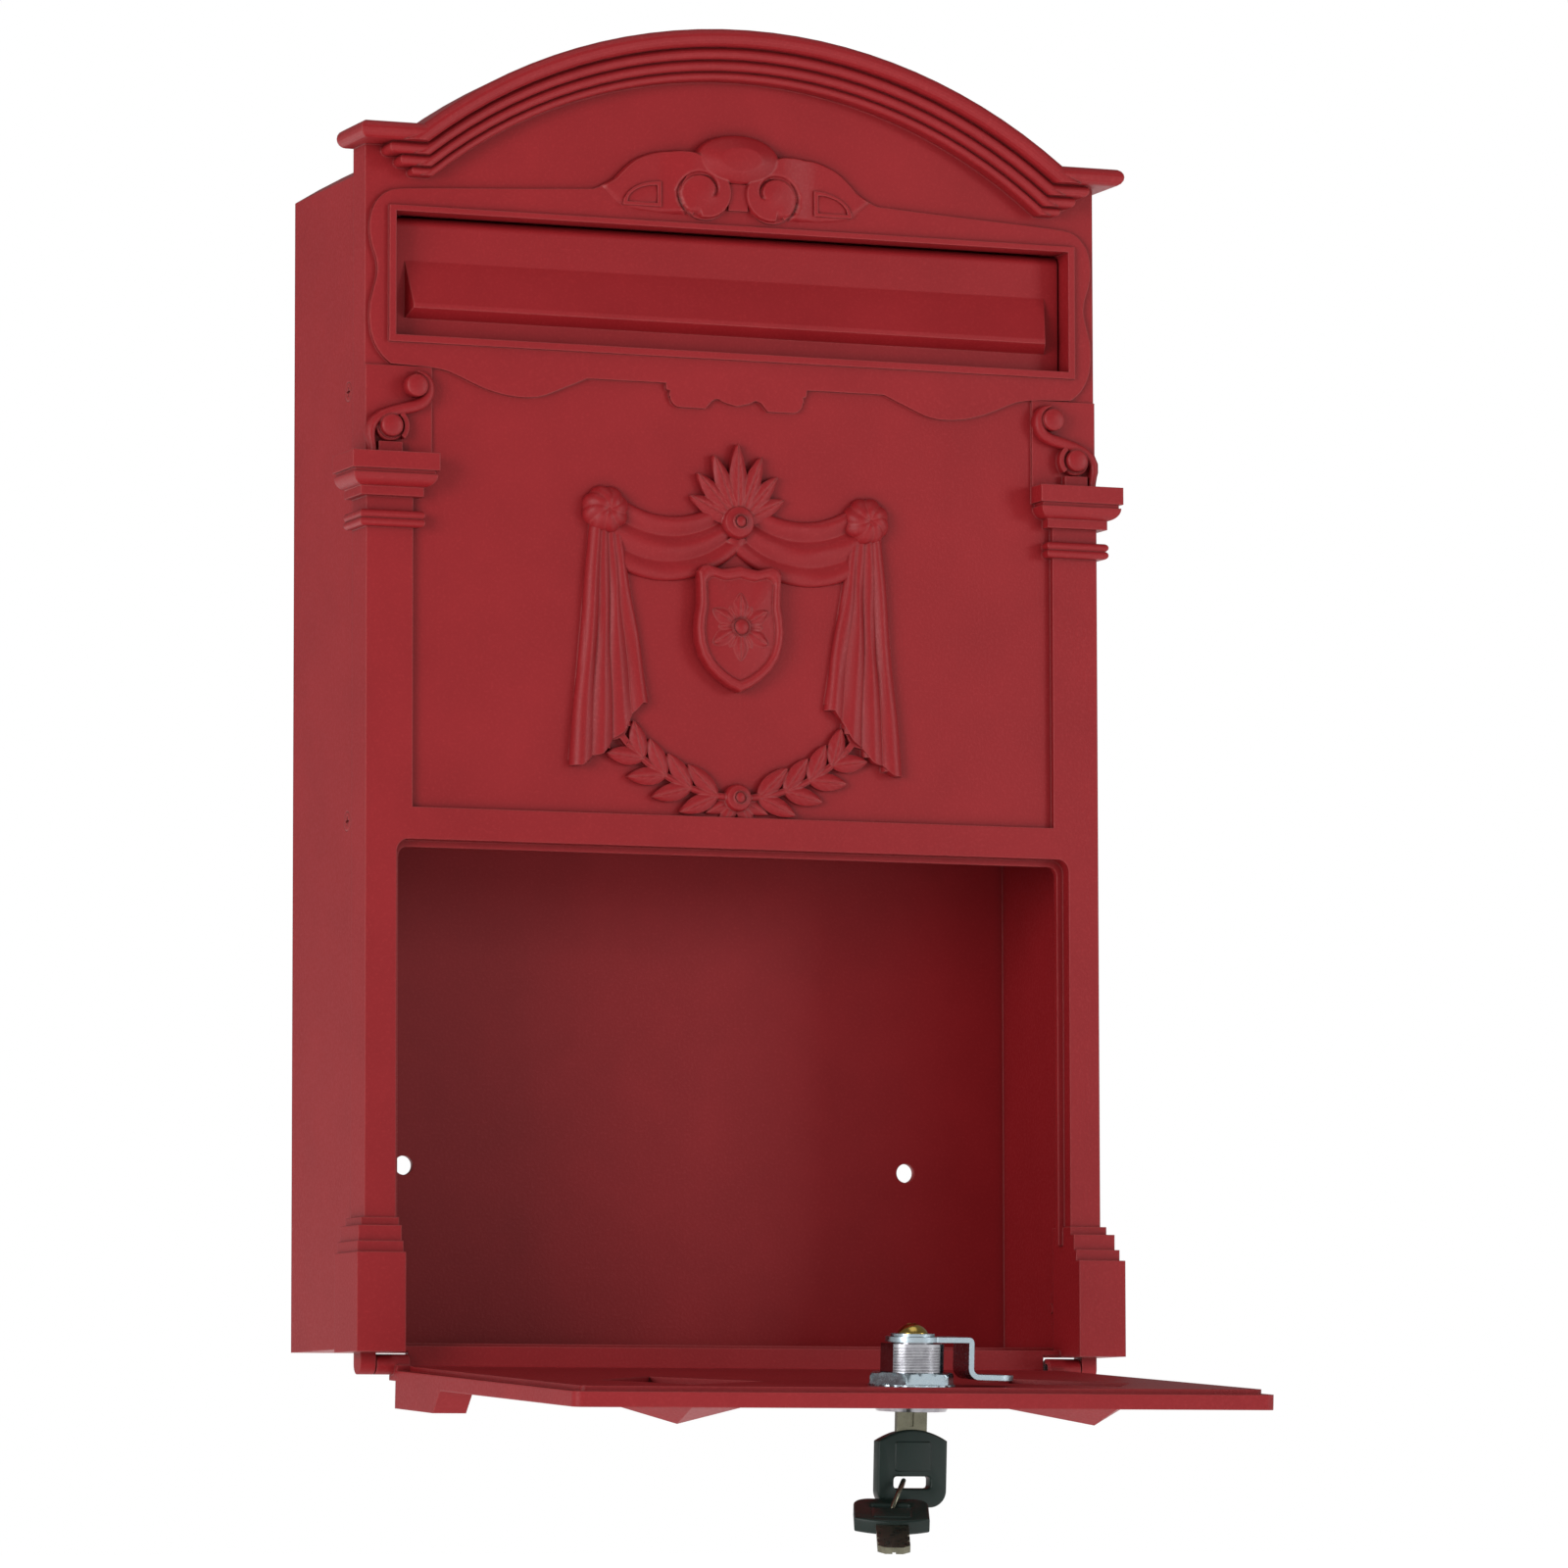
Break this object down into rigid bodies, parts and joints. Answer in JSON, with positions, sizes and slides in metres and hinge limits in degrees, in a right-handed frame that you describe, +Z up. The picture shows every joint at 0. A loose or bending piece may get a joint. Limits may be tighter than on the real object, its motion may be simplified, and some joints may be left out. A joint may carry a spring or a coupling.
{
  "type": "wall letter box",
  "caption": "Wall letter box with a cast arched front, a top hung letter flap and a drop down door with a cam lock and keys.",
  "frame": {"origin": "on the wall face, at the middle of the four wall holes", "axes": "+X to the right seen from the front, +Y into the wall, +Z up"},
  "size_m": [0.257, 0.2508, 0.4725],
  "materials": {
    "red_paint": "fine textured powder coat, semi matt",
    "nickel_steel": "nickel plated, slightly dull",
    "zinc_steel": "bright zinc plated",
    "brass": "plain brass",
    "black_plastic": "moulded black plastic, satin"
  },
  "bodies": {
    "case": {"back_box": "red_paint", "front_casting": "red_paint", "flap_rod": "nickel_steel", "hinge_pin_left": "nickel_steel", "hinge_pin_right": "nickel_steel", "side_screw_left_low": "red_paint", "side_screw_left_mid": "red_paint", "side_screw_left_high": "red_paint", "side_screw_right_low": "red_paint", "side_screw_right_mid": "red_paint", "side_screw_right_high": "red_paint"},
    "flap": {"letter_flap": "red_paint"},
    "door": {"door": "red_paint", "lock_barrel": "nickel_steel", "lock_nut": "zinc_steel"},
    "lock": {"lock_plug": "nickel_steel", "lock_cam": "zinc_steel", "cam_washer": "zinc_steel", "cam_screw": "brass", "key_blade": "nickel_steel", "key_bow": "black_plastic"},
    "key_fob": {"key_ring": "nickel_steel", "spare_key_blade": "nickel_steel", "spare_key_bow": "black_plastic"}
  },
  "joints": [
    {"name": "flap_hinge", "type": "hinge", "parent": "case", "child": "flap", "pos_m": [0, -0.0614, 0.1507], "axis": [1, 0, 0], "range_deg": [-80, 0]},
    {"name": "door_hinge", "type": "hinge", "parent": "case", "child": "door", "pos_m": [0, -0.0651, -0.1986], "axis": [1, 0, 0], "range_deg": [-93.3, 0]},
    {"name": "lock_turn", "type": "hinge", "parent": "door", "child": "lock", "pos_m": [0, -0.20785, -0.20713], "axis": [0, 0.0576, -0.9983], "range_deg": [0, 90]},
    {"name": "key_ring_swing", "type": "hinge", "parent": "lock", "child": "key_fob", "pos_m": [-0.002, -0.20624, -0.23498], "axis": [-0.3187, -0.9197, 0.2293], "range_deg": [-2, 30]}
  ]
}
